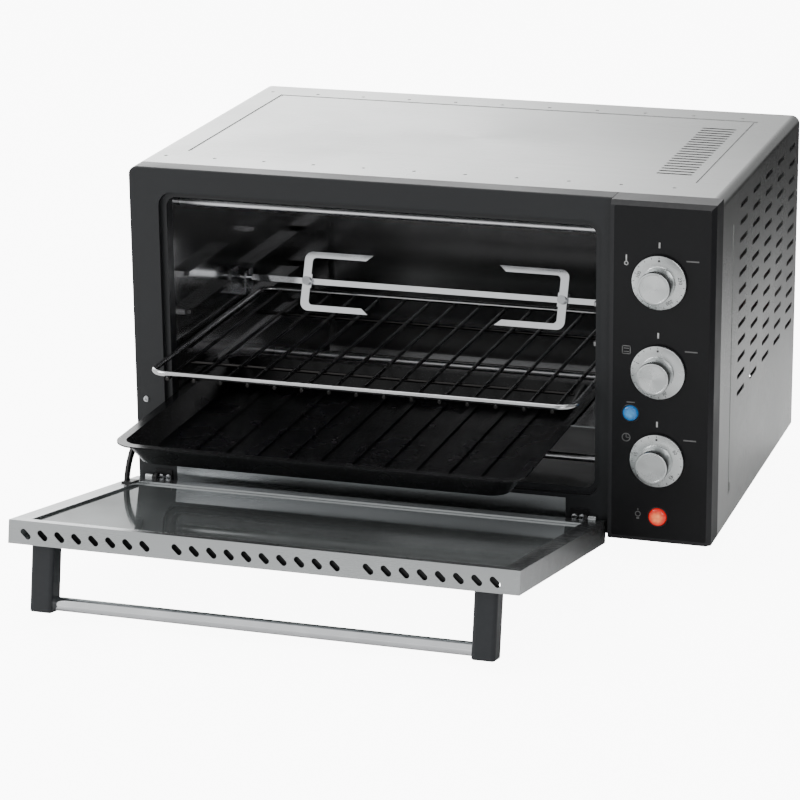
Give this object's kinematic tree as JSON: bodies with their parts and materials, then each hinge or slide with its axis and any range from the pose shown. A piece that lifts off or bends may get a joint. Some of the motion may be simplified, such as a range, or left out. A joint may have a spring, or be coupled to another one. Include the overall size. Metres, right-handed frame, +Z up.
{
  "type": "countertop rotisserie oven",
  "caption": "Countertop rotisserie oven with a drop-down glass door, wire rack, baking tray, motor-driven spit with forks, and control knobs and indicator lenses on a side panel.",
  "frame": {"origin": "under the middle of the whole part at rest, on the surface the feet stand on", "axes": "+Z up, the door opens towards -Y, +X to the right seen from the front"},
  "size_m": [0.48, 0.5897, 0.29],
  "materials": {
    "brushed_housing": "brushed stainless sheet",
    "galvanised": "plain galvanised sheet",
    "frame_plastic": "charcoal satin moulding",
    "panel_plastic": "dark satin moulding",
    "fascia": "near-black satin plate",
    "cavity_steel": "dark aluminised sheet",
    "heater_sheath": "plain heater sheath",
    "insulator": "unglazed",
    "chrome_wire": "bright plated",
    "plated_screw": "zinc plated",
    "drive_metal": "machined",
    "motor_case": "plated case",
    "control_case": "moulded case",
    "tray_enamel": "black enamel",
    "door_paint": "dark satin paint",
    "door_glass": "clear toughened",
    "bracket_metal": "dark plate",
    "knob_metal": "spun satin",
    "lens_blue": "clear coloured lens",
    "lens_red": "clear coloured lens",
    "foot_rubber": "moulded",
    "gland_plastic": "moulded"
  },
  "bodies": {
    "oven_body": {"housing_wrap": "brushed_housing", "back_panel": "galvanised", "base_plate": "galvanised", "tray_runner_left": "galvanised", "tray_runner_right": "galvanised", "spit_support": "galvanised", "front_frame": "frame_plastic", "control_housing": "panel_plastic", "control_fascia": "fascia", "cavity_left_wall": "cavity_steel", "cavity_right_wall": "cavity_steel", "cavity_ceiling": "cavity_steel", "cavity_floor": "cavity_steel", "cavity_back": "cavity_steel", "heater_top_front": "heater_sheath", "heater_top_rear": "heater_sheath", "heater_bottom_front": "heater_sheath", "heater_bottom_rear": "heater_sheath", "heater_insulators": "insulator", "case_screws": "plated_screw", "timer_bell": "plated_screw", "spit_motor": "motor_case", "thermostat": "control_case", "function_switch": "control_case", "timer": "control_case", "hinge_bracket_left": "bracket_metal", "hinge_bracket_right": "bracket_metal", "ready_lens": "lens_blue", "power_lens": "lens_red", "foot_front_left": "foot_rubber", "foot_rear_left": "foot_rubber", "foot_front_right": "foot_rubber", "foot_rear_right": "foot_rubber", "cord_gland": "gland_plastic"},
    "door": {"door_rail_left": "door_paint", "door_rail_right": "door_paint", "door_bottom_rail": "door_paint", "door_strip": "brushed_housing", "door_glass": "door_glass", "handle_post_left": "frame_plastic", "handle_post_right": "frame_plastic", "handle_bar": "chrome_wire", "handle_screws": "plated_screw", "hinge_pin_left": "plated_screw", "hinge_pin_right": "plated_screw", "door_stay": "door_paint"},
    "rack": {"wire_rack": "chrome_wire"},
    "tray": {"bake_tray": "tray_enamel"},
    "spit": {"spit_rod": "chrome_wire", "drive_coupler": "drive_metal"},
    "left_fork": {"fork_left": "chrome_wire"},
    "right_fork": {"fork_right": "chrome_wire"},
    "left_thumbscrew": {"thumbscrew_left": "plated_screw"},
    "right_thumbscrew": {"thumbscrew_right": "plated_screw"},
    "thermostat_dial": {"thermostat_knob": "knob_metal", "thermostat_shaft": "plated_screw"},
    "function_dial": {"function_knob": "knob_metal", "function_shaft": "plated_screw"},
    "timer_dial": {"timer_knob": "knob_metal", "timer_shaft": "plated_screw"}
  },
  "joints": [
    {"name": "door_hinge", "type": "hinge", "parent": "oven_body", "child": "door", "pos_m": [-0.042, -0.0365, 0.0302], "axis": [-1, 0, 0], "range_deg": [0, 79.2]},
    {"name": "rack_slide", "type": "slide", "parent": "oven_body", "child": "rack", "axis": [0, 1, 0], "range_m": [0, 0.064]},
    {"name": "tray_slide", "type": "slide", "parent": "oven_body", "child": "tray", "axis": [0, 1, 0], "range_m": [0, 0.16]},
    {"name": "spit_spin", "type": "hinge", "parent": "oven_body", "child": "spit", "pos_m": [-0.04, 0.12, 0.161], "axis": [1, 0, 0], "continuous": true},
    {"name": "fork_left_slide", "type": "slide", "parent": "spit", "child": "left_fork", "axis": [1, 0, 0], "range_m": [-0.034, 0.05]},
    {"name": "fork_right_slide", "type": "slide", "parent": "spit", "child": "right_fork", "axis": [1, 0, 0], "range_m": [-0.05, 0.034]},
    {"name": "thumbscrew_left_turn", "type": "hinge", "parent": "left_fork", "child": "left_thumbscrew", "pos_m": [-0.143, 0.12, 0.161], "axis": [0, -0.9272, 0.3746], "range_deg": [0, 720]},
    {"name": "thumbscrew_right_turn", "type": "hinge", "parent": "right_fork", "child": "right_thumbscrew", "pos_m": [0.079, 0.12, 0.161], "axis": [0, -0.9272, 0.3746], "range_deg": [0, 720]},
    {"name": "thermostat_turn", "type": "hinge", "parent": "oven_body", "child": "thermostat_dial", "pos_m": [0.1972, -0.042, 0.2283], "axis": [0, 1, 0], "range_deg": [0, 300]},
    {"name": "function_turn", "type": "hinge", "parent": "oven_body", "child": "function_dial", "pos_m": [0.1972, -0.042, 0.15695], "axis": [0, 1, 0], "range_deg": [0, 240]},
    {"name": "timer_turn", "type": "hinge", "parent": "oven_body", "child": "timer_dial", "pos_m": [0.1972, -0.042, 0.0856], "axis": [0, 1, 0], "range_deg": [0, 330]}
  ],
  "couplings": [
    {"joint": "rack_slide", "follows": "door_hinge", "m_per_rad": 0.046299},
    {"joint": "tray_slide", "follows": "door_hinge", "m_per_rad": 0.11575}
  ]
}
